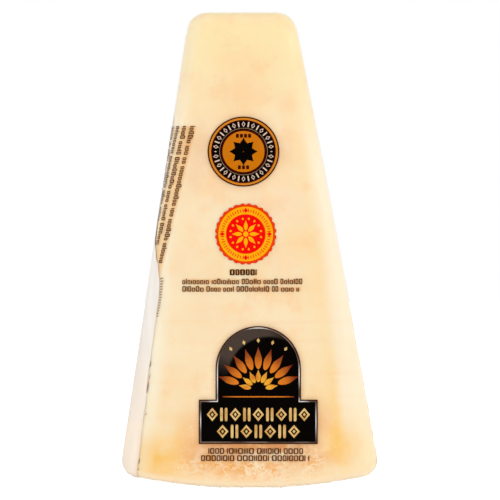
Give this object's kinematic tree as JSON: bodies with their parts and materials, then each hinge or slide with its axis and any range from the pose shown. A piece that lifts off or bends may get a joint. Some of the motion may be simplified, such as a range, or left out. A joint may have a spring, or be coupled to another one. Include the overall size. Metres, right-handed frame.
{
  "type": "parmesan chunk",
  "caption": "Wedge of hard aged cheese cut from a wheel and sealed in clear printed shrink film, standing on its rind.",
  "frame": {"origin": "on the surface that the wedge stands on, under the middle of its outline", "axes": "+Z from the rind up to the narrow end, -Y the way the printed face looks, +X to the right of someone looking at that face"},
  "size_m": [0.0792, 0.033, 0.147],
  "materials": {
    "cheese": "pale cream hard cheese, faintly mottled and crumbly, golden at the rind, seen through film",
    "clear_film": "thin clear glossy shrink film with fine wrinkles at the ends",
    "white_print": "opaque white printed back panel of the film",
    "black_print": "opaque black ink under glossy film",
    "gold_print": "amber and gold ink under glossy film",
    "red_print": "orange red ink under glossy film",
    "brown_print": "fine dark brown ink rules under glossy film"
  },
  "bodies": {
    "root": {"wrapped_wedge": "cheese"}
  },
  "joints": []
}
